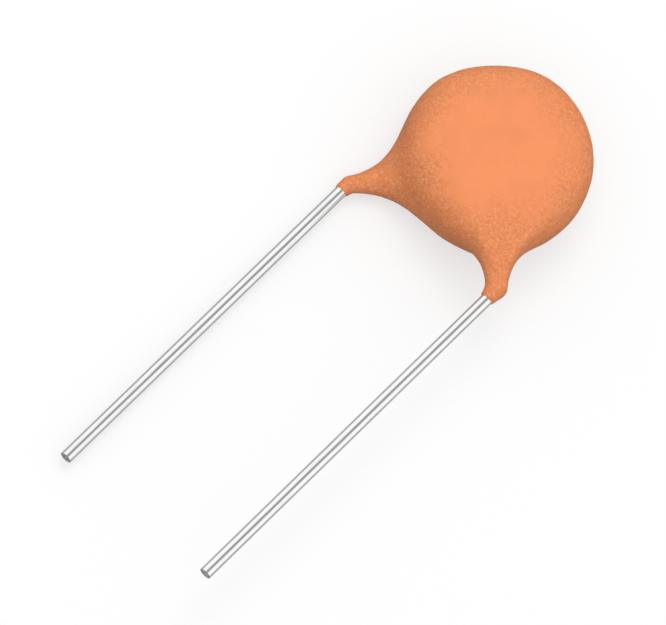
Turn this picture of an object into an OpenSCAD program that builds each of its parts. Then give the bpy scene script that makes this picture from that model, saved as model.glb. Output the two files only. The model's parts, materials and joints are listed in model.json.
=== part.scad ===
// Radial ceramic disc capacitor, lying flat on its rear face.
// A ceramic disc carries a silver electrode on each face. A wire lead is soldered to each
// electrode, one behind the disc and one in front, and a dipped resin coating covers it all
// and runs a little way down both wires.
// The origin is on the underside, level with the middle of the disc along Y and halfway
// between the leads along X. The leads point along -Y.

/* [Ceramic disc] */
// Diameter of the bare ceramic disc
ceramic_d = 7; // [5.8:0.1:9]
// Thickness of the bare ceramic disc
ceramic_t = 1.8; // [1:0.1:3]
// Bare ceramic left around the silver electrode that is fired on each face
electrode_margin = 0.4; // [0.1:0.05:0.8]
// Thickness of the silver electrode
electrode_t = 0.03; // [0.02:0.01:0.1]

/* [Leads] */
// Diameter of the tinned wire
wire_d = 0.55; // [0.4:0.05:0.8]
// Distance between the two leads
lead_pitch = 7.5; // [6:0.1:9.5]
// Distance from the middle of the disc down to the tips of the leads
lead_reach = 22.6; // [12:0.1:36]
// Distance from the edge of the coated disc down to the bend of the rear lead
rear_bend_drop = 1.02; // [0.3:0.02:2]
// Distance from the edge of the coated disc down to the bend of the front lead
front_bend_drop = 0.42; // [0.3:0.02:2]
// Radius of each bend, along the middle of the wire
bend_r = 0.8; // [0.5:0.05:1.2]
// How far past the middle of the disc each wire ends, both across and along
seat_past = 0.6; // [0.1:0.1:1.2]

/* [Solder joints] */
// Solder between the wire and the electrode below it
solder_film = 0.02; // [0.01:0.01:0.05]
// Solder over the top of the wire
solder_skin = 0.05; // [0.03:0.01:0.1]
// Radius of the hollow where the solder runs out onto the electrode
solder_fillet = 0.45; // [0.25:0.05:0.6]
// Bare silver left around the solder
solder_margin = 0.15; // [0.05:0.05:0.5]

/* [Coating] */
// Resin beyond the edge of the ceramic disc
rim_cover = 0.58; // [0.4:0.02:1]
// Resin over each wire, on the two faces
face_cover = 0.25; // [0.15:0.05:0.5]
// Radius of the rounded edge of the coated disc
edge_r = 1.4; // [1:0.05:1.6]
// Depth of the flatter stretch that dipping leaves on the rim
rim_flat = 0.2; // [0:0.02:0.3]
// Direction of that stretch from the middle of the disc, anticlockwise from +X
rim_flat_angle = 138; // [90:2:270]
// How far the middle of the disc sits to the right of the middle of the leads
disc_shift = -0.2; // [-0.4:0.05:0.4]
// Coated length of the rear lead below its bend
rear_skirt = 0.5; // [0.4:0.05:1.5]
// Coated length of the front lead below its bend
front_skirt = 0.7; // [0.4:0.05:1.5]
// Resin around the wire where the coating ends
skirt_cover = 0.025; // [0.02:0.005:0.1]
// Resin around the rear wire at its bend
rear_bend_cover = 0.06; // [0.03:0.01:0.3]
// Resin around the front wire at its bend
front_bend_cover = 0.15; // [0.03:0.01:0.3]
// Resin around the wire where it reaches the edge of the disc
root_cover = 0.5; // [0.2:0.05:0.7]
// Width of the smooth run from each leg into the disc
leg_blend = 2; // [0.8:0.1:2.6]

/* [Hidden] */

FRONT = 1;
REAR = -1;
WIRE_FN = 48;
DISC_FN = 96;
// Points around each ring of the coating, and halvings that find each of them
RING_POINTS = 36;
HALVINGS = 16;
// The search for a ring's points starts this many disc radii out, past any of the surface
SEARCH_START = 1.5;
// Points crowd towards the top and bottom of a ring by this ratio, fully so from this turn on
RING_STRETCH = 2;
STRETCHED_TURN = 60;
// Between these turns a ring's middle moves from the wire to halfway through the disc
INTO_DISC_TURNS = [28, 68];
// Turns of the rings from the end of one leg to the middle of the disc: [from, to, step]
SWEEP = [[0, 18, 2.25], [18, 57, 1.5], [57, 89, 4]];
// The flatter stretch of the rim fades out this many degrees to either side
RIM_FLAT_SPREAD = 42;
// Keeps a direction from the middle of the disc known at the middle itself
NEAR_MIDDLE = 0.001;

wire_r = wire_d / 2;
ceramic_r = ceramic_d / 2;
electrode_r = ceramic_r - electrode_margin;
disc_r = ceramic_r + rim_cover;
wire_lift = ceramic_t / 2 + electrode_t + solder_film + wire_r;
disc_t = 2 * (wire_lift + wire_r + face_cover);
mid_z = disc_t / 2;
rim_r = min(edge_r, mid_z);
disc_middle = [disc_shift, 0];
solder_skin_r = wire_r + solder_skin;
// The solder's hollow cuts this far into the round skin, so that the two meet in a clean edge
solder_bite = 0.01;
// Thickness of the solder's outer edge, and half the width of its section
solder_toe = 0.04;
toe_x = sqrt(pow(solder_skin_r + solder_fillet - solder_bite, 2)
    - pow(solder_toe + solder_fillet - wire_r - solder_film, 2));

function mix(a, b, t) = a + (b - a) * t;
function limit(t) = max(0, min(1, t));
function ease(t) = limit(t) * limit(t) * (3 - 2 * limit(t));
function flat(p) = [p.x, p.y];

// Places on each lead, in the plane of the disc
function bend_reach(side) = disc_r + (side == FRONT ? front_bend_drop : rear_bend_drop);
function skirt(side) = side == FRONT ? front_skirt : rear_skirt;
function bend_cover(side) = side == FRONT ? front_bend_cover : rear_bend_cover;
function lead_x(side) = side * lead_pitch / 2;
function lead_z(side) = mid_z + side * wire_lift;
function bend_at(side) = [lead_x(side), -bend_reach(side)];
function seat_at(side) = disc_middle + seat_past * [-side, 1];
function coat_end(side) = -bend_reach(side) - skirt(side);
function slant(side) =
    let (run = seat_at(side) - bend_at(side))
    run / norm(run);
function bend_angle(side) = atan2(abs(slant(side).x), slant(side).y);
function bend_tangent(side) = bend_r * tan(bend_angle(side) / 2);
function straight_end(side) = -bend_reach(side) - bend_tangent(side);
function bend_middle(side) =
    let (half = bend_angle(side) / 2)
    [lead_x(side) - side * bend_r * (1 - cos(half)), straight_end(side) + bend_r * sin(half)];
// Length of wire under the solder: back from its end, as far as the electrode allows
function joint_length(side) =
    let (
        from_middle = seat_at(side) - disc_middle,
        back = -from_middle * slant(side),
        room = electrode_r - solder_margin - toe_x
    )
    sqrt(room * room - from_middle * from_middle + back * back) - back;

// Distances from a point to the surfaces that shape the coating, below zero inside
function smooth_min(a, b, width) =
    let (near = max(width - abs(a - b), 0))
    min(a, b) - near * near / (4 * width);
function flattening(across) =
    let (
        way = [cos(rim_flat_angle), sin(rim_flat_angle)],
        off_way = acos(limit(across * way / max(norm(across), NEAR_MIDDLE)))
    )
    rim_flat * ease(1 - off_way / RIM_FLAT_SPREAD);
function to_disc(p) =
    let (
        across = flat(p) - disc_middle,
        out = norm(across) + flattening(across) - disc_r + rim_r,
        up = abs(p.z - mid_z) - mid_z + rim_r
    )
    norm([max(out, 0), max(up, 0)]) + min(max(out, up), 0) - rim_r;
function to_limb(p, a, b, r_a, r_b) =
    let (t = limit((p - a) * (b - a) / ((b - a) * (b - a))))
    norm(p - mix(a, b, t)) - mix(r_a, r_b, t);
function to_leg(p, side) =
    let (
        z = lead_z(side),
        low = [lead_x(side), coat_end(side), z],
        bend = [bend_middle(side).x, bend_middle(side).y, z],
        root_at = (seat_at(side) + bend_at(side)) / 2,
        root = [root_at.x, root_at.y, z],
        bend_cover_r = wire_r + bend_cover(side)
    )
    smooth_min(
        to_limb(p, low, bend, wire_r + skirt_cover, bend_cover_r),
        to_limb(p, bend, root, bend_cover_r, wire_r + root_cover),
        bend_cover(side)
    );
function to_coat(p) =
    let (rear = smooth_min(to_disc(p), to_leg(p, REAR), leg_blend))
    smooth_min(rear, to_leg(p, FRONT), leg_blend);

// Rings of points on the coating, each in an upright plane that turns about an upright axis
// between the ends of the two legs
function ring_axis(side) = [0, coat_end(side)];
function ring_way(side, turn) = [side * cos(turn), sin(turn)];
// How far out along its plane a ring has its middle: on the wire at first, then halfway
// through the disc
function along_wire(side, turn) =
    let (
        way = ring_way(side, turn),
        run = slant(side),
        start = bend_at(side) - ring_axis(side)
    )
    min(
        lead_pitch / 2 / cos(turn),
        (start.x * run.y - start.y * run.x) / (way.x * run.y - way.y * run.x)
    );
function ring_middle(side, turn) =
    let (
        way = ring_way(side, turn),
        into_disc = ease((turn - INTO_DISC_TURNS[0]) / (INTO_DISC_TURNS[1] - INTO_DISC_TURNS[0])),
        through_disc = (disc_middle - ring_axis(side)) * way,
        out = mix(along_wire(side, turn), through_disc, into_disc),
        place = ring_axis(side) + way * out
    )
    [place.x, place.y, mix(lead_z(side), mid_z, into_disc)];
// Point where a line out of the coating crosses its surface, found by halving and then kept
// between the two flat faces
function cross_out(middle, way, near, far, halvings) =
    let (half = (near + far) / 2, edge = middle + way * far)
    halvings == 0 ? [edge.x, edge.y, max(0, min(disc_t, edge.z))]
    : to_coat(middle + way * half) < 0 ? cross_out(middle, way, half, far, halvings - 1)
    : cross_out(middle, way, near, half, halvings - 1);
function ring(side, turn) =
    let (
        way = ring_way(side, turn),
        middle = ring_middle(side, turn),
        stretch = mix(1, RING_STRETCH, ease(turn / STRETCHED_TURN))
    )
    [for (i = [0:RING_POINTS - 1])
        let (
            round = 360 * i / RING_POINTS,
            out = [way.x * stretch * cos(round), way.y * stretch * cos(round), sin(round)]
        )
        cross_out(middle, out / norm(out), 0, disc_r * SEARCH_START, HALVINGS)];

turns = [for (span = SWEEP) for (turn = [span[0]:span[2]:span[1] - span[2] / 2]) turn];
rings = concat(
    [for (turn = turns) ring(REAR, turn)],
    [ring(REAR, 90)],
    [for (i = [len(turns) - 1:-1:0]) ring(FRONT, turns[i])]
);

module ring_loft(loops) {
    count = len(loops[0]);
    last = len(loops) - 1;
    sides = [for (j = [0:last - 1]) for (i = [0:count - 1])
        let (a = j * count + i, b = j * count + (i + 1) % count)
        each [[a, b, b + count], [a, b + count, a + count]]];
    caps = [[for (i = [count - 1:-1:0]) i], [for (i = [0:count - 1]) last * count + i]];
    polyhedron([for (loop = loops) each loop], concat(sides, caps));
}

// Moves a shape that lies along +Y to the wire of one side, at its seat on the electrode
module at_seat(side) {
    translate([seat_at(side).x, seat_at(side).y, lead_z(side)])
        rotate([0, 0, side * bend_angle(side)])
            mirror([0, 0, side == REAR ? 1 : 0])
                children();
}

// One wire: its straight length, a bend that ends square to both lengths, and the slanted length
module lead_wire(side) {
    angle = side * bend_angle(side);
    slant_length = norm(seat_at(side) - bend_at(side)) - bend_tangent(side);
    half_space = 4 * bend_r;
    translate([lead_x(side) - side * bend_r, straight_end(side), lead_z(side)]) {
        translate([side * bend_r, 0, 0])
            rotate([90, 0, 0])
                cylinder(h = lead_reach + straight_end(side), r = wire_r, $fn = WIRE_FN);
        intersection() {
            rotate_extrude($fn = DISC_FN)
                translate([bend_r, 0])
                    circle(r = wire_r, $fn = WIRE_FN);
            translate([-half_space / 2, 0, -half_space / 2])
                cube(half_space);
            rotate([0, 0, angle])
                translate([-half_space / 2, -half_space, -half_space / 2])
                    cube(half_space);
        }
        rotate([0, 0, angle])
            translate([side * bend_r, 0, 0])
                rotate([-90, 0, 0])
                    cylinder(h = slant_length, r = wire_r, $fn = WIRE_FN);
    }
}

// Section across a soldered wire, with the middle of the wire at the origin
module solder_section() {
    floor_y = -wire_r - solder_film;
    hollow_y = floor_y + solder_toe + solder_fillet;
    difference() {
        union() {
            circle(r = solder_skin_r, $fn = WIRE_FN);
            polygon([
                [-toe_x, floor_y], [toe_x, floor_y],
                [toe_x, hollow_y], [0, 0], [-toe_x, hollow_y],
            ]);
        }
        for (way = [-1, 1])
            translate([way * toe_x, hollow_y])
                circle(r = solder_fillet, $fn = WIRE_FN);
        translate([-2 * toe_x, floor_y - toe_x])
            square([4 * toe_x, toe_x]);
    }
}

module solder_mound(side) {
    run = joint_length(side);
    at_seat(side) {
        rotate([90, 0, 0])
            linear_extrude(run)
                solder_section();
        for (end_y = [0, -run])
            translate([0, end_y, 0])
                rotate_extrude($fn = DISC_FN)
                    intersection() {
                        solder_section();
                        translate([0, -2 * toe_x])
                            square(4 * toe_x);
                    }
    }
}

module electrode_plate(side) {
    translate([disc_middle.x, disc_middle.y, mid_z + side * (ceramic_t + electrode_t) / 2])
        cylinder(h = electrode_t, r = electrode_r, center = true, $fn = DISC_FN);
}

module ceramic_plate() {
    translate([disc_middle.x, disc_middle.y, mid_z])
        cylinder(h = ceramic_t, r = ceramic_r, center = true, $fn = DISC_FN);
}

module coating() {
    color("#e0895a")
        difference() {
            ring_loft(rings);
            ceramic_plate();
            for (side = [REAR, FRONT]) {
                electrode_plate(side);
                solder_mound(side);
                lead_wire(side);
            }
        }
}

module ceramic_disc() {
    color("#c9b08a") ceramic_plate();
}

module front_electrode() {
    color("#d9d8d2") electrode_plate(FRONT);
}

module rear_electrode() {
    color("#d9d8d2") electrode_plate(REAR);
}

module front_solder_joint() {
    color("#a9acae")
        difference() {
            solder_mound(FRONT);
            lead_wire(FRONT);
        }
}

module rear_solder_joint() {
    color("#a9acae")
        difference() {
            solder_mound(REAR);
            lead_wire(REAR);
        }
}

module front_lead() {
    color("#cfd1d3") lead_wire(FRONT);
}

module rear_lead() {
    color("#cfd1d3") lead_wire(REAR);
}

coating();
ceramic_disc();
front_electrode();
rear_electrode();
front_solder_joint();
rear_solder_joint();
front_lead();
rear_lead();
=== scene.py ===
"""Looks of a radial ceramic disc capacitor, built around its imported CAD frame."""

import json
import logging
import math
from contextlib import contextmanager
from dataclasses import dataclass
from enum import Enum
from typing import Callable, Iterator, Optional, Union

import bpy
from bpy.types import Material, MeshPolygon, NodeSocket, Object
from mathutils import Matrix, Vector

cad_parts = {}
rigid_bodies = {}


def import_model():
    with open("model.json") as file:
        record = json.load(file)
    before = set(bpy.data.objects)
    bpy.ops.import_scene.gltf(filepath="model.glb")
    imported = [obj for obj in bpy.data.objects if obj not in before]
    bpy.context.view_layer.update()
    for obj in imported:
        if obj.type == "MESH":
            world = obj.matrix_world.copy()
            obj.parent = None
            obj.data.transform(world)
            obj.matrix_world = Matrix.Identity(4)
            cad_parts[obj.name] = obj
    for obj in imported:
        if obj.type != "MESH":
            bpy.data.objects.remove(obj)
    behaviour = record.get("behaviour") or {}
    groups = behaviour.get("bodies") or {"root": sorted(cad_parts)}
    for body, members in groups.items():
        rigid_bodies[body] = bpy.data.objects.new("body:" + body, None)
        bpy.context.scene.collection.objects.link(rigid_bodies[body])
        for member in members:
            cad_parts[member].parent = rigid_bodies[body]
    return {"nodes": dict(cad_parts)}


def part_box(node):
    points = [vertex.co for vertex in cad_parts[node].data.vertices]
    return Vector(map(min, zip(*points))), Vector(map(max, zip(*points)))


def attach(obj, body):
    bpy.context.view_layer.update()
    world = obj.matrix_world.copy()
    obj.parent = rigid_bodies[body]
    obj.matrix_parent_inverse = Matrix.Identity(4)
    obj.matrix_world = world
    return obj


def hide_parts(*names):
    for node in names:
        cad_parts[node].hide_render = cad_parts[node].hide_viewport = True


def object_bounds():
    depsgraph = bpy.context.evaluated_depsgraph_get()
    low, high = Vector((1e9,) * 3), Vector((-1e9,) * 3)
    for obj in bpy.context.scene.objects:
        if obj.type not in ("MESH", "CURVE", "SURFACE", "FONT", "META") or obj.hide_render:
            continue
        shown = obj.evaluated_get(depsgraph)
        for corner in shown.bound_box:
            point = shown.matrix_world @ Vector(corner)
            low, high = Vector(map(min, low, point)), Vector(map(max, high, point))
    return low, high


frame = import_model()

CAD_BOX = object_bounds()
BODY = "root"
MM = 0.001
MERGE_DISTANCE = 1e-7        # metres within which a copied mesh's corners are one
ROUND_CUT_CORNERS = 4        # a face with more corners than this is a round cut end
FACING = 0.9                 # least part of a normal along an axis that it faces
SQUARE_ON = 0.999            # the same for a flat face square to the axis
WHITE = (1.0, 1.0, 1.0)
Colour = tuple[float, float, float]

log = logging.getLogger("disc_capacitor")


# Shader maths

@dataclass(frozen=True)
class Grain:
    """A noise pattern: how fine it is, and which stretch of its range counts as none to full."""

    scale: float             # grains to a millimetre
    low: float = 0.3
    high: float = 0.7
    detail: float = 3.0      # octaves of finer grain
    roughness: float = 0.6   # strength of the finer octaves
    seed: float = 0.0        # offset that makes one noise unlike another


class Signal:
    """A shader socket that takes part in Python sums, as numbers do."""

    def __init__(self, graph: "ShaderGraph", socket: NodeSocket) -> None:
        """Wraps a socket.

        Args:
            graph: The graph that the socket's node belongs to.
            socket: The output socket.
        """
        self.graph = graph
        self.socket = socket

    def node_output(self, name: str) -> "Signal":
        """Another output of the same node."""
        return Signal(self.graph, self.socket.node.outputs[name])

    def _math(self, operation: str, first: "Value", second: "Value") -> "Signal":
        """Adds a Math node and returns its output."""
        return self.graph.node("ShaderNodeMath", {"operation": operation}, {0: first, 1: second})

    def __add__(self, other: "Value") -> "Signal":
        """Sum of two values."""
        return self._math("ADD", self, other)

    def __sub__(self, other: "Value") -> "Signal":
        """This value less another."""
        return self._math("SUBTRACT", self, other)

    def __rsub__(self, other: "Value") -> "Signal":
        """A number less this value."""
        return self._math("SUBTRACT", other, self)

    def __mul__(self, other: "Value") -> "Signal":
        """Product of two values."""
        return self._math("MULTIPLY", self, other)

    __radd__ = __add__
    __rmul__ = __mul__


Value = Union[Signal, float, tuple]


class ShaderGraph:
    """The node graph of one material or world, with short calls to fill it."""

    def __init__(self, owner: Union[Material, bpy.types.World]) -> None:
        """Empties the owner's graph and keeps it.

        Args:
            owner: The material or world whose nodes are made here.
        """
        owner.use_nodes = True
        self.tree = owner.node_tree
        self.tree.nodes.clear()

    def node(self, kind: str, settings: Optional[dict] = None, inputs: Optional[dict] = None,
             output: Union[int, str] = 0) -> Signal:
        """Adds any node.

        Args:
            kind: The node's type name.
            settings: Properties of the node, set before its sockets.
            inputs: Values or links of its sockets, by name or index.
            output: The output socket that is wanted.

        Returns:
            That output, as a signal.
        """
        made = self.tree.nodes.new(kind)
        for name, value in (settings or {}).items():
            setattr(made, name, value)
        for name, value in (inputs or {}).items():
            if isinstance(value, Signal):
                self.tree.links.new(value.socket, made.inputs[name])
            elif isinstance(value, tuple) and made.inputs[name].type == "RGBA":
                made.inputs[name].default_value = (*value, 1.0)
            else:
                made.inputs[name].default_value = value
        outlets = made.outputs
        return Signal(self, outlets[output]) if len(outlets) else Signal(self, None)

    def coordinates(self, stretch: Colour = (1.0, 1.0, 1.0)) -> Signal:
        """Place on the piece, in millimetres of the row's own frame.

        Args:
            stretch: Extra scale along each axis, which draws a pattern out where it is small.

        Returns:
            The coordinates as a vector signal.
        """
        place = self.node("ShaderNodeTexCoord", output="Object")
        scale = tuple(part / MM for part in stretch)
        return self.node("ShaderNodeMapping", {"vector_type": "POINT"}, {"Vector": place, "Scale": scale})

    def noise(self, place: Signal, grain: Grain) -> Signal:
        """Fractal noise from 0 to 1.

        Args:
            place: Coordinates in millimetres.
            grain: The pattern.

        Returns:
            The noise as a value signal.
        """
        offset = (grain.seed, -grain.seed, grain.seed)
        moved = self.node("ShaderNodeVectorMath", {"operation": "ADD"}, {0: place, 1: offset})
        return self.node(
            "ShaderNodeTexNoise", {"noise_dimensions": "3D"},
            {"Vector": moved, "Scale": grain.scale, "Detail": grain.detail, "Roughness": grain.roughness})

    def step(self, noise: Signal, grain: Grain, ends: tuple[float, float] = (0.0, 1.0)) -> Signal:
        """Smooth step of a noise over its own pattern's stretch.

        Args:
            noise: The noise.
            grain: Its pattern.
            ends: Results at the stretch's low and high end.

        Returns:
            The step as a value signal.
        """
        return self.ramp(noise, grain.low, grain.high, *ends)

    def ramp(self, value: Value, low: float, high: float, start: float = 0.0, end: float = 1.0) -> Signal:
        """Smooth step of a value.

        Args:
            value: What is measured.
            low: Where the step begins.
            high: Where it ends.
            start: Result at low.
            end: Result at high.

        Returns:
            The step as a value signal.
        """
        return self.node("ShaderNodeMapRange", {"interpolation_type": "SMOOTHSTEP"},
                         {"Value": value, "From Min": low, "From Max": high, "To Min": start, "To Max": end})

    def mix(self, amount: Value, first: Value, second: Value) -> Signal:
        """Colour between two colours, by an amount from 0 to 1."""
        return self.node("ShaderNodeMix", {"data_type": "RGBA"}, {0: amount, 6: first, 7: second}, output=2)

    def bump(self, height: Signal, depth_mm: float, strength: float,
             below: Optional[Signal] = None) -> Signal:
        """Normal of a surface with small relief.

        Args:
            height: Relief from 0 to 1.
            depth_mm: Depth of the relief.
            strength: Share of it that is used.
            below: Normal of a coarser relief that this one lies on.

        Returns:
            The normal as a vector signal.
        """
        inputs = {"Height": height, "Distance": depth_mm * MM, "Strength": strength}
        if below is not None:
            inputs["Normal"] = below
        return self.node("ShaderNodeBump", {}, inputs)

    def surface(self, **inputs: Value) -> None:
        """Ends a material with a Principled shader.

        Args:
            **inputs: Its sockets by name, with _ for a space.
        """
        named = {name.replace("_", " "): value for name, value in inputs.items()}
        shader = self.node("ShaderNodeBsdfPrincipled", {}, named)
        self.node("ShaderNodeOutputMaterial", {}, {"Surface": shader})


# Finishes

@dataclass(frozen=True)
class ResinFinish:
    """Dipped orange-brown resin: dull, finely granular, smoother and lighter in the middle of each face;
    darker towards the rim, partly its own deeper orange and partly painted shade.
    """

    # face: the lighter middle of each face. body: the tone of the rim and the legs, darker partly from the
    # resin's own deeper orange and partly from painted shade where the rim turns from the light.
    face: Colour = (0.85, 0.277, 0.108)
    body: Colour = (0.78, 0.25, 0.084)
    tan: Colour = (0.68, 0.24, 0.092)
    deep: Colour = (0.45, 0.115, 0.038)
    pale: Colour = (0.98, 0.56, 0.4)
    middle: tuple[float, float] = (-0.45, -0.3)          # of the smooth, lighter patch and of the painted rim shade around it, in mm
    patch_radii: tuple[float, float] = (1.9, 3.8)        # smooth and lighter within, fully grainy and in painted rim shade beyond, in mm
    edge_wander: float = 2.4                             # how far the patch's edge strays, in mm
    patches: Grain = Grain(0.62, 0.42, 0.68, 2.0, 0.5, 31.0)
    mottle: Grain = Grain(4.6, 0.4, 0.64, seed=11.0)
    dark: Grain = Grain(9.0, 0.54, 0.66, roughness=0.65, seed=5.0)
    light: Grain = Grain(9.5, 0.48, 0.68, 2.0, seed=23.0)
    swell: Grain = Grain(1.3, roughness=0.5, seed=7.0)
    wander: Grain = Grain(0.7, roughness=0.5, seed=3.0)
    patches_share: float = 0.3
    mottle_share: tuple[float, float] = (0.21, 0.02)     # added where grainy, and everywhere
    dark_share: tuple[float, float] = (0.3, 0.01)
    light_share: tuple[float, float] = (0.25, 0.01)
    roughness: tuple[float, float] = (0.5, 0.68)

    def material(self) -> Material:
        """Makes the resin's material.

        Returns:
            The material.
        """
        made = bpy.data.materials.new("dipped_resin")
        graph = ShaderGraph(made)
        place = graph.coordinates()
        grain_and_rim_shade = self.grain_and_rim_shade(graph, place)
        grain = graph.noise(place, self.dark)
        patches = graph.step(graph.noise(place, self.patches), self.patches)
        mottle = graph.step(graph.noise(place, self.mottle), self.mottle)
        light = graph.step(graph.noise(place, self.light), self.light)
        dark = graph.step(grain, self.dark)

        # Lighter middle to darker rim: the rim's darker tone is partly the resin's own deeper orange and
        # partly painted shade.
        tone = graph.mix(grain_and_rim_shade, self.face, self.body)
        tone = graph.mix(patches * self.patches_share, tone, self.tan)
        tone = graph.mix(mottle * self.share(grain_and_rim_shade, self.mottle_share), tone, self.deep)
        tone = graph.mix(dark * self.share(grain_and_rim_shade, self.dark_share), tone, self.deep)
        tone = graph.mix(light * self.share(grain_and_rim_shade, self.light_share), tone, self.pale)

        wavy = graph.bump(graph.noise(place, self.swell), 0.06, 0.5)
        graph.surface(
            Base_Color=tone,
            Roughness=graph.ramp(grain, 0.3, 0.7, *self.roughness),
            Specular_IOR_Level=0.3,
            Normal=graph.bump(grain * grain_and_rim_shade, 0.02, 0.8, wavy),
        )
        return made

    def share(self, grain_and_rim_shade: Signal, share: tuple[float, float]) -> Signal:
        """How much of a pattern shows: its first figure where the resin is grainy, plus its second."""
        return grain_and_rim_shade * share[0] + share[1]

    def grain_and_rim_shade(self, graph: ShaderGraph, place: Signal) -> Signal:
        """How grainy the resin is and how far painted rim shade darkens its tone, from 0 in the middle of a
        face to 1 at the rim and the legs.

        Args:
            graph: The resin's graph.
            place: Coordinates in millimetres.

        Returns:
            The share as a value signal.
        """
        from_middle = graph.node("ShaderNodeVectorMath", {"operation": "SUBTRACT"},
                                 {0: place, 1: (*self.middle, 0.0)})
        across = graph.node("ShaderNodeVectorMath", {"operation": "MULTIPLY"},
                            {0: from_middle, 1: (1.0, 1.0, 0.0)})
        radius = graph.node("ShaderNodeVectorMath", {"operation": "LENGTH"}, {0: across}, output="Value")
        strayed = radius + (graph.noise(place, self.wander) - 0.5) * self.edge_wander
        return graph.ramp(strayed, *self.patch_radii)


@dataclass(frozen=True)
class TinnedWireFinish:
    """Bright tinned wire with the fine lines that drawing leaves along it."""

    bright: Colour = (0.96, 0.962, 0.968)
    dull: Colour = (0.8, 0.805, 0.82)
    line_stretch: Colour = (1.0, 0.03, 1.0)
    cloud_stretch: Colour = (1.0, 0.4, 1.0)
    lines: Grain = Grain(26.0, 0.5, 0.72, seed=2.0)
    clouds: Grain = Grain(1.8, 0.5, 0.75, seed=9.0)
    line_share: float = 0.35
    cloud_share: float = 0.3
    roughness: tuple[float, float] = (0.13, 0.22)

    def material(self) -> Material:
        """Makes the wire's material.

        Returns:
            The material.
        """
        made = bpy.data.materials.new("tinned_wire")
        graph = ShaderGraph(made)
        lines = graph.noise(graph.coordinates(self.line_stretch), self.lines)
        cloud = graph.noise(graph.coordinates(self.cloud_stretch), self.clouds)
        worn = (graph.step(lines, self.lines) * self.line_share
                + graph.step(cloud, self.clouds) * self.cloud_share)
        graph.surface(
            Base_Color=graph.mix(worn, self.bright, self.dull),
            Metallic=1.0,
            Roughness=graph.ramp(cloud, 0.3, 0.7, *self.roughness),
            Normal=graph.bump(lines, 0.006, 0.35),
        )
        return made


@dataclass(frozen=True)
class ShearedEndFinish:
    """Cut end of the wire: a dull grey core with shear marks."""

    core: Colour = (0.44, 0.43, 0.425)
    smear: Colour = (0.72, 0.72, 0.725)
    mark_stretch: Colour = (1.0, 1.0, 0.15)
    marks: Grain = Grain(14.0, 0.4, 0.65, seed=4.0)
    roughness: tuple[float, float] = (0.4, 0.6)

    def material(self) -> Material:
        """Makes the cut end's material.

        Returns:
            The material.
        """
        made = bpy.data.materials.new("sheared_end")
        graph = ShaderGraph(made)
        marks = graph.noise(graph.coordinates(self.mark_stretch), self.marks)
        graph.surface(
            Base_Color=graph.mix(graph.step(marks, self.marks), self.core, self.smear),
            Metallic=0.85,
            Roughness=graph.ramp(marks, 0.3, 0.7, *self.roughness),
            Normal=graph.bump(marks, 0.01, 0.6),
        )
        return made


@dataclass(frozen=True)
class BareCeramicFinish:
    """Fired barium titanate: matte tan, with fine pores."""

    body: Colour = (0.6, 0.44, 0.27)
    shade: Colour = (0.47, 0.33, 0.2)
    pores: Grain = Grain(12.0, 0.6, 0.72, 4.0, seed=1.0)
    clouds: Grain = Grain(0.9, 0.35, 0.7, roughness=0.5, seed=6.0)
    pore_share: float = 0.5
    cloud_share: float = 0.5
    roughness: tuple[float, float] = (0.7, 0.85)

    def material(self) -> Material:
        """Makes the ceramic's material.

        Returns:
            The material.
        """
        made = bpy.data.materials.new("bare_ceramic")
        graph = ShaderGraph(made)
        place = graph.coordinates()
        pores = graph.noise(place, self.pores)
        clouds = graph.step(graph.noise(place, self.clouds), self.clouds)
        tone = graph.mix(clouds * self.cloud_share, self.body, self.shade)
        graph.surface(
            Base_Color=graph.mix(graph.step(pores, self.pores) * self.pore_share, tone, self.shade),
            Roughness=graph.ramp(pores, 0.3, 0.7, *self.roughness),
            Specular_IOR_Level=0.3,
            Normal=graph.bump(pores, 0.01, 0.5),
        )
        return made


@dataclass(frozen=True)
class FiredSilverFinish:
    """Screened and fired silver: matte white metal, lightly tarnished in clouds."""

    silver: Colour = (0.88, 0.87, 0.84)
    tarnish: Colour = (0.66, 0.6, 0.5)
    grain: Grain = Grain(16.0, seed=8.0)
    clouds: Grain = Grain(1.2, 0.45, 0.75, 4.0, seed=12.0)
    cloud_share: float = 0.6
    roughness: tuple[float, float] = (0.45, 0.6)

    def material(self) -> Material:
        """Makes the electrodes' material.

        Returns:
            The material.
        """
        made = bpy.data.materials.new("fired_silver")
        graph = ShaderGraph(made)
        place = graph.coordinates()
        grain = graph.noise(place, self.grain)
        clouds = graph.step(graph.noise(place, self.clouds), self.clouds)
        graph.surface(
            Base_Color=graph.mix(clouds * self.cloud_share, self.silver, self.tarnish),
            Metallic=0.9,
            Roughness=graph.step(grain, self.grain, self.roughness),
            Normal=graph.bump(grain, 0.006, 0.5),
        )
        return made


@dataclass(frozen=True)
class SolderFinish:
    """Solder that set slowly: satin grey, slightly frosted in patches."""

    bright: Colour = (0.72, 0.73, 0.74)
    frosted: Colour = (0.52, 0.53, 0.54)
    frost: Grain = Grain(3.5, 0.4, 0.65, 4.0, seed=14.0)
    roughness: tuple[float, float] = (0.2, 0.42)

    def material(self) -> Material:
        """Makes the solder's material.

        Returns:
            The material.
        """
        made = bpy.data.materials.new("set_solder")
        graph = ShaderGraph(made)
        frost = graph.noise(graph.coordinates(), self.frost)
        graph.surface(
            Base_Color=graph.mix(graph.step(frost, self.frost), self.bright, self.frosted),
            Metallic=1.0,
            Roughness=graph.ramp(frost, 0.35, 0.65, *self.roughness),
            Normal=graph.bump(frost, 0.012, 0.4),
        )
        return made


# Modelling

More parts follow.
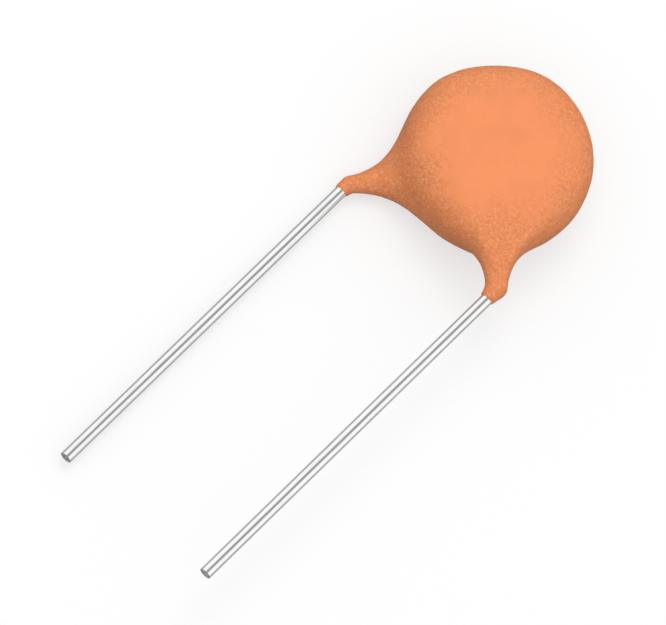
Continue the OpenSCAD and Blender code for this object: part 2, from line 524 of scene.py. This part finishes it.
class Bench:
    """Selection and editing by operator, one piece at a time."""

    @staticmethod
    def only(piece: Object) -> None:
        """Makes one object the only selected one, and the active one.

        Args:
            piece: The object.
        """
        bpy.ops.object.select_all(action="DESELECT")
        piece.select_set(True)
        bpy.context.view_layer.objects.active = piece

    @staticmethod
    @contextmanager
    def editing(piece: Object, mode: str = "VERT") -> Iterator[None]:
        """Edit mode on one piece, with nothing selected at the start.

        Args:
            piece: The object to edit.
            mode: VERT, EDGE or FACE.
        """
        Bench.only(piece)
        bpy.ops.object.mode_set(mode="EDIT")
        bpy.ops.mesh.select_mode(type=mode)
        bpy.ops.mesh.select_all(action="DESELECT")
        yield
        bpy.ops.object.mode_set(mode="OBJECT")

    @staticmethod
    def pick_faces(piece: Object, wanted: Callable[[MeshPolygon], bool]) -> int:
        """Selects the faces that pass a test, from within edit mode.

        Args:
            piece: The object in edit mode.
            wanted: Says whether a face is selected.

        Returns:
            How many faces were selected.
        """
        bpy.ops.object.mode_set(mode="OBJECT")
        count = 0
        for face in piece.data.polygons:
            face.select = wanted(face)
            count += face.select
        bpy.ops.object.mode_set(mode="EDIT")
        return count

    @staticmethod
    def modify(piece: Object, kind: str, **settings: object) -> None:
        """Adds a modifier and applies it.

        Args:
            piece: The object it works on.
            kind: The modifier's type.
            **settings: Its properties.
        """
        Bench.only(piece)
        modifier = piece.modifiers.new(kind.lower(), kind)
        for name, value in settings.items():
            setattr(modifier, name, value)
        bpy.ops.object.modifier_apply(modifier=modifier.name)

    @staticmethod
    def settle(piece: Object) -> None:
        """Moves a piece's place and turn into its mesh."""
        Bench.only(piece)
        bpy.ops.object.transform_apply(location=True, rotation=True, scale=True)

    @staticmethod
    def resize(piece: Object, factor: float) -> None:
        """Scales a piece's mesh about the row's origin.

        Args:
            piece: The piece.
            factor: How many times larger it becomes.
        """
        with Bench.editing(piece):
            bpy.ops.mesh.select_all(action="SELECT")
            bpy.ops.transform.resize(value=(factor, factor, factor), center_override=(0.0, 0.0, 0.0))

    @staticmethod
    def copy_of(node: Object, name: str) -> Object:
        """A merged copy of a CAD node's mesh in an object of its own.

        Args:
            node: The CAD node, which is left alone.
            name: The new object's name.

        Returns:
            The new object.
        """
        made = bpy.data.objects.new(name, node.data.copy())
        bpy.context.scene.collection.objects.link(made)
        made.data.materials.clear()
        with Bench.editing(made):
            bpy.ops.mesh.select_all(action="SELECT")
            bpy.ops.mesh.remove_doubles(threshold=MERGE_DISTANCE)
        return made

    @staticmethod
    def finish(piece: Object, finish: Material, slot: str, node: str, smooth_degrees: float = 40.0) -> None:
        """Smooths and dresses a piece, hangs it on the body and hides its CAD node.

        Args:
            piece: The finished piece.
            finish: Its material, unless it has some already.
            slot: The record's material slot; not used.
            node: The CAD node that it stands for.
            smooth_degrees: Edges sharper than this stay sharp.
        """
        Bench.only(piece)
        bpy.ops.object.shade_smooth_by_angle(angle=math.radians(smooth_degrees))
        if not piece.data.materials:
            piece.data.materials.append(finish)
        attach(piece, BODY)
        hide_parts(node)
        log.info("%s: %d faces", piece.name, len(piece.data.polygons))


class Side(Enum):
    """The two sides of the disc, and which way each one's lead is offset along X."""

    REAR = -1
    FRONT = 1


@dataclass
class Lead:
    """One tinned wire, straight, bent once and laid across its electrode. Sizes are in metres."""

    side: Side
    bend_reach: float
    bend_radius: float = 0.8 * MM
    seat_past: float = 0.6 * MM
    disc_shift: float = -0.2 * MM
    corners: int = 64
    bend_steps: int = 14
    burr: float = 0.014 * MM
    core_inset: float = 0.042 * MM

    @property
    def node(self) -> str:
        """Name of the CAD node."""
        return f"{self.side.name.lower()}_lead"

    def build(self, wire: Material, cut: Material) -> Object:
        """Models the wire from its tip to its seat.

        Args:
            wire: Material of the wire.
            cut: Material of the two cut ends.

        Returns:
            The finished piece.
        """
        low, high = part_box(self.node)
        radius = (high.z - low.z) / 2
        level = (high.z + low.z) / 2
        way = self.side.value
        x = (high.x - radius) if self.side is Side.FRONT else (low.x + radius)
        seat = Vector((self.disc_shift - way * self.seat_past, self.seat_past, level))
        bend = Vector((x, -self.bend_reach, level))
        run = (seat - bend).normalized()
        angle = math.atan2(abs(run.x), run.y)
        tangent = self.bend_radius * math.tan(angle / 2)
        straight_end = Vector((x, bend.y - tangent, level))
        slanted = run * ((seat - bend).length - tangent)

        piece = self.straight_wire(Vector((x, low.y, level)), straight_end, radius)
        piece.data.materials.append(wire)
        piece.data.materials.append(cut)
        self.bend_and_slant(piece, straight_end, -way * angle, slanted)
        with Bench.editing(piece, "FACE"):
            Bench.pick_faces(piece, self.is_cut)
            piece.active_material_index = 1
            bpy.ops.object.material_slot_assign()
        self.shear_tip(piece, low.y)
        Bench.finish(piece, wire, "tinned_wire", self.node)
        return piece

    @staticmethod
    def is_cut(face: MeshPolygon) -> bool:
        """Whether a face is one of the wire's two round ends."""
        return len(face.vertices) > ROUND_CUT_CORNERS

    def straight_wire(self, tip: Vector, end: Vector, radius: float) -> Object:
        """Makes the straight part, closed at both ends.

        Args:
            tip: Middle of the free end.
            end: Middle of the end where the bend begins.
            radius: The wire's radius.

        Returns:
            The straight wire.
        """
        bpy.ops.object.select_all(action="DESELECT")
        bpy.ops.mesh.primitive_cylinder_add(
            vertices=self.corners, radius=radius, depth=(end - tip).length, end_fill_type="NGON",
            location=(tip + end) / 2, rotation=(math.pi / 2, 0.0, 0.0))
        piece = bpy.context.object
        piece.name = f"{self.node}_wire"
        Bench.settle(piece)
        return piece

    def bend_and_slant(self, piece: Object, start: Vector, angle: float, slanted: Vector) -> None:
        """Bends the wire once and draws it out to its seat.

        Args:
            piece: The straight wire.
            start: Middle of the end where the bend begins.
            angle: Angle of the bend about +Z, in radians.
            slanted: The straight run after the bend.
        """
        centre = start - Vector((self.side.value * self.bend_radius, 0.0, 0.0))
        with Bench.editing(piece, "FACE"):
            Bench.pick_faces(piece, lambda face: face.normal.y > FACING)
            bpy.ops.mesh.delete(type="ONLY_FACE")
            bpy.ops.mesh.select_mode(type="EDGE")
            bpy.ops.mesh.select_non_manifold()
            bpy.ops.mesh.spin(steps=self.bend_steps, angle=angle, dupli=False, center=centre,
                              axis=(0.0, 0.0, 1.0))
            bpy.ops.mesh.extrude_region_move(TRANSFORM_OT_translate={"value": slanted})
            bpy.ops.mesh.edge_face_add()
            bpy.ops.mesh.select_all(action="SELECT")
            bpy.ops.mesh.normals_make_consistent(inside=False)

    def shear_tip(self, piece: Object, tip_y: float) -> None:
        """Rounds the rim of the tip and hollows the cut a little, as cutters leave it.

        Args:
            piece: The wire.
            tip_y: Where the tip lies.
        """
        with Bench.editing(piece, "FACE"):
            Bench.pick_faces(piece, lambda face: self.is_cut(face) and face.center.y < tip_y + MM)
            bpy.ops.mesh.inset(thickness=self.burr)
            bpy.ops.mesh.inset(thickness=self.core_inset)
            bpy.ops.transform.translate(value=(0.0, self.burr, 0.0))


@dataclass
class ResinCoat:
    """The dipped coating, as a dense skin over the CAD coating's outside. Sizes are in millimetres."""

    skin_cell: float = 0.065
    smoothing: int = 6
    lift: float = 0.03
    swell_size: float = 1.7
    swell: float = 0.05
    grain_size: float = 0.16
    grain: float = 0.012
    node: str = "coating"

    def build(self, resin: Material) -> Object:
        """Makes the coating's skin.

        Args:
            resin: Its material.

        Returns:
            The finished piece.
        """
        piece = Bench.copy_of(frame["nodes"][self.node], "resin_coat")
        Bench.resize(piece, 1 / MM)
        self.keep_outside(piece)
        self.refine(piece)
        self.roughen(piece)
        self.lay_flat(piece)
        Bench.resize(piece, MM)
        Bench.finish(piece, resin, "resin_coating", self.node, 60.0)
        return piece

    def keep_outside(self, piece: Object) -> None:
        """Cuts the ring at each leg's end, drops the inner walls and closes the legs.

        Args:
            piece: The merged copy of the coating, in millimetres.
        """
        corners = [corner.co.copy() for corner in piece.data.vertices]
        rear_end = min(place.y for place in corners if place.x < 0)
        front_end = min(place.y for place in corners if place.x > 0)
        top = max(place.z for place in corners)
        near = self.skin_cell / 4
        with Bench.editing(piece, "FACE"):
            Bench.pick_faces(piece, lambda face: face.normal.y < -SQUARE_ON and abs(
                face.center.y - (rear_end if face.center.x < 0 else front_end)) < near)
            bpy.ops.mesh.delete(type="FACE")
            Bench.pick_faces(piece, lambda face: face.center.z > top - near)
            bpy.ops.mesh.select_linked()
            bpy.ops.mesh.select_all(action="INVERT")
            bpy.ops.mesh.delete(type="VERT")
            bpy.ops.mesh.select_mode(type="EDGE")
            bpy.ops.mesh.select_non_manifold()
            bpy.ops.transform.edge_crease(value=1.0)
            bpy.ops.mesh.fill_holes(sides=0)
            bpy.ops.mesh.select_all(action="SELECT")
            bpy.ops.mesh.tris_convert_to_quads()

    def refine(self, piece: Object) -> None:
        """Rounds the facets off, lays an even skin of small cells and makes up what rounding took.

        Args:
            piece: The closed outside, in millimetres.
        """
        Bench.modify(piece, "SUBSURF", levels=2, render_levels=2)
        Bench.modify(piece, "REMESH", mode="VOXEL", voxel_size=self.skin_cell, adaptivity=0.0)
        Bench.modify(piece, "SMOOTH", factor=0.5, iterations=self.smoothing)
        Bench.modify(piece, "DISPLACE", strength=self.lift, mid_level=0.0)

    def roughen(self, piece: Object) -> None:
        """Gives the skin slow swells and a fine grain.

        Args:
            piece: The even skin, in millimetres.
        """
        reliefs = (("swell", self.swell_size, self.swell), ("grain", self.grain_size, self.grain))
        for name, size, depth in reliefs:
            texture = bpy.data.textures.new(f"resin_{name}", "CLOUDS")
            texture.noise_scale = size
            texture.noise_depth = 2
            Bench.modify(piece, "DISPLACE", texture=texture, strength=depth, mid_level=0.5,
                         texture_coords="LOCAL")

    def lay_flat(self, piece: Object) -> None:
        """Presses the underside flat where it rests.

        Args:
            piece: The rough skin, in millimetres.
        """
        with Bench.editing(piece):
            bpy.ops.object.mode_set(mode="OBJECT")
            for corner in piece.data.vertices:
                corner.select = corner.co.z < self.grain
            bpy.ops.object.mode_set(mode="EDIT")
            bpy.ops.transform.resize(value=(1.0, 1.0, 0.0), center_override=(0.0, 0.0, 0.0))


# Studio

@dataclass
class Studio:
    """A pale floor, a soft surround and one soft key light."""

    floor_size: float = 1.2
    floor_tone: Colour = (0.9, 0.9, 0.9)
    floor_glow: float = 0.6
    floor_bounce: Colour = (0.25, 0.25, 0.25)
    mirrored_floor: float = 0.42
    surround: float = 0.925
    surround_low: float = 0.905
    surround_slope: float = 0.02
    horizon_to: float = 0.8
    dark_band: float = 0.33
    band_edges: tuple[float, float] = (0.27, 0.45)
    key_power: float = 0.125
    key_size: float = 0.12
    key_place: tuple[float, float, float] = (-0.07, 0.07, 0.2)

    def build(self) -> None:
        """Makes the floor, the surround and the key light."""
        self.lay_floor()
        self.surround_with_light()
        self.hang_key()
        bpy.context.scene.view_settings.view_transform = "Standard"

    def lay_floor(self) -> None:
        """A wide pale floor at the part's underside, which the part itself sees as a grey card."""
        bpy.ops.object.select_all(action="DESELECT")
        bpy.ops.mesh.primitive_plane_add(size=self.floor_size, location=(0.0, 0.0, CAD_BOX[0].z))
        floor = bpy.context.object
        floor.name = "floor"
        made = bpy.data.materials.new("pale_floor")
        graph = ShaderGraph(made)
        pale = graph.node("ShaderNodeBsdfDiffuse", {}, {"Color": self.floor_tone})
        glow = graph.node("ShaderNodeEmission", {}, {"Color": WHITE, "Strength": 1.0})
        lit = graph.node("ShaderNodeMixShader", {}, {0: self.floor_glow, 1: pale, 2: glow})
        dim = graph.node("ShaderNodeBsdfDiffuse", {}, {"Color": self.floor_bounce})
        card = graph.node("ShaderNodeEmission", {}, {"Color": WHITE, "Strength": self.mirrored_floor})
        mirrored = graph.node("ShaderNodeLightPath", output="Is Glossy Ray")
        unseen = graph.node("ShaderNodeMixShader", {}, {0: mirrored, 1: dim, 2: card})
        seen = graph.node("ShaderNodeLightPath", output="Is Camera Ray")
        both = graph.node("ShaderNodeMixShader", {}, {0: seen, 1: unseen, 2: lit})
        graph.node("ShaderNodeOutputMaterial", {}, {"Surface": both})
        floor.data.materials.append(made)

    def surround_with_light(self) -> None:
        """A soft surround, a little dimmer at the horizon, with a dark band overhead for polished metal."""
        world = bpy.data.worlds.new("surround")
        bpy.context.scene.world = world
        graph = ShaderGraph(world)
        way = graph.node("ShaderNodeTexCoord", output="Generated")
        parts = graph.node("ShaderNodeSeparateXYZ", {}, {"Vector": way})
        across = parts.node_output("X")
        along = parts.node_output("Y")
        off_band = graph.node("ShaderNodeMath", {"operation": "ABSOLUTE"}, {0: across})
        polished = graph.ramp(off_band, *self.band_edges, self.dark_band, 1.0)
        height = parts.node_output("Z")
        dome = graph.ramp(height, 0.0, self.horizon_to, self.surround_low, self.surround)
        matte = dome + along * self.surround_slope
        mirrored = graph.node("ShaderNodeLightPath", output="Is Glossy Ray")
        strength = mirrored * polished + (1.0 - mirrored) * matte
        light = graph.node("ShaderNodeBackground", {}, {"Color": WHITE, "Strength": strength})
        graph.node("ShaderNodeOutputWorld", {}, {"Surface": light})

    def hang_key(self) -> None:
        """One large soft light, high up and away from the leads, that polished wire doesn't mirror."""
        bpy.ops.object.light_add(type="AREA", location=self.key_place)
        key = bpy.context.object
        key.name = "key_light"
        key.data.energy = self.key_power
        key.data.size = self.key_size
        key.visible_glossy = False
        key.rotation_euler = (-Vector(self.key_place)).to_track_quat("-Z", "Y").to_euler()


@dataclass
class ProductCamera:
    """A long lens almost straight above the part, turned so that the leads run to the lower left."""

    tilt_degrees: float = 20.0
    turn_degrees: float = 45.85
    aim: tuple[float, float, float] = (-0.335 * MM, -10.05 * MM, 1.73 * MM)
    frame_width: float = 27.87 * MM
    lens: float = 1000.0
    sensor: float = 36.0
    near_share: float = 0.1  # of the distance, in front of which nothing is drawn
    far: float = 10.0

    def build(self) -> None:
        """Makes the camera and gives it to the scene."""
        tilt = math.radians(self.tilt_degrees)
        turn = math.radians(self.turn_degrees)
        toward = Vector((0.0, -math.sin(tilt), math.cos(tilt)))
        up_slope = Vector((0.0, math.cos(tilt), math.sin(tilt)))
        across = Vector((1.0, 0.0, 0.0))
        right = across * math.cos(turn) + up_slope * math.sin(turn)
        up = toward.cross(right)
        distance = self.frame_width * self.lens / self.sensor
        data = bpy.data.cameras.new("camera")
        data.lens = self.lens
        data.sensor_width = self.sensor
        data.clip_start = distance * self.near_share
        data.clip_end = self.far
        camera = bpy.data.objects.new("camera", data)
        turned = Matrix((right, up, toward)).transposed().to_4x4()
        camera.matrix_world = Matrix.Translation(Vector(self.aim) + toward * distance) @ turned
        bpy.context.scene.collection.objects.link(camera)
        bpy.context.scene.camera = camera


def dress_inner_pieces() -> None:
    """Gives the CAD nodes inside the coating their own finishes."""
    solder = SolderFinish().material()
    silver = FiredSilverFinish().material()
    finishes = {
        "ceramic_disc": BareCeramicFinish().material(),
        "front_electrode": silver,
        "rear_electrode": silver,
        "front_solder_joint": solder,
        "rear_solder_joint": solder,
    }
    for name, finish in finishes.items():
        node = frame["nodes"][name]
        node.data.materials.clear()
        node.data.materials.append(finish)
        log.info("%s: dressed as %s", name, finish.name)


def main() -> None:
    """Builds the studio, the wires, the coating and the finishes inside it."""
    logging.basicConfig(level=logging.INFO, format="%(name)s: %(message)s")
    ProductCamera().build()
    Studio().build()
    wire = TinnedWireFinish().material()
    cut = ShearedEndFinish().material()
    Lead(Side.REAR, bend_reach=5.1 * MM).build(wire, cut)
    Lead(Side.FRONT, bend_reach=4.5 * MM).build(wire, cut)
    ResinCoat().build(ResinFinish().material())
    dress_inner_pieces()


if __name__ == "__main__":
    main()
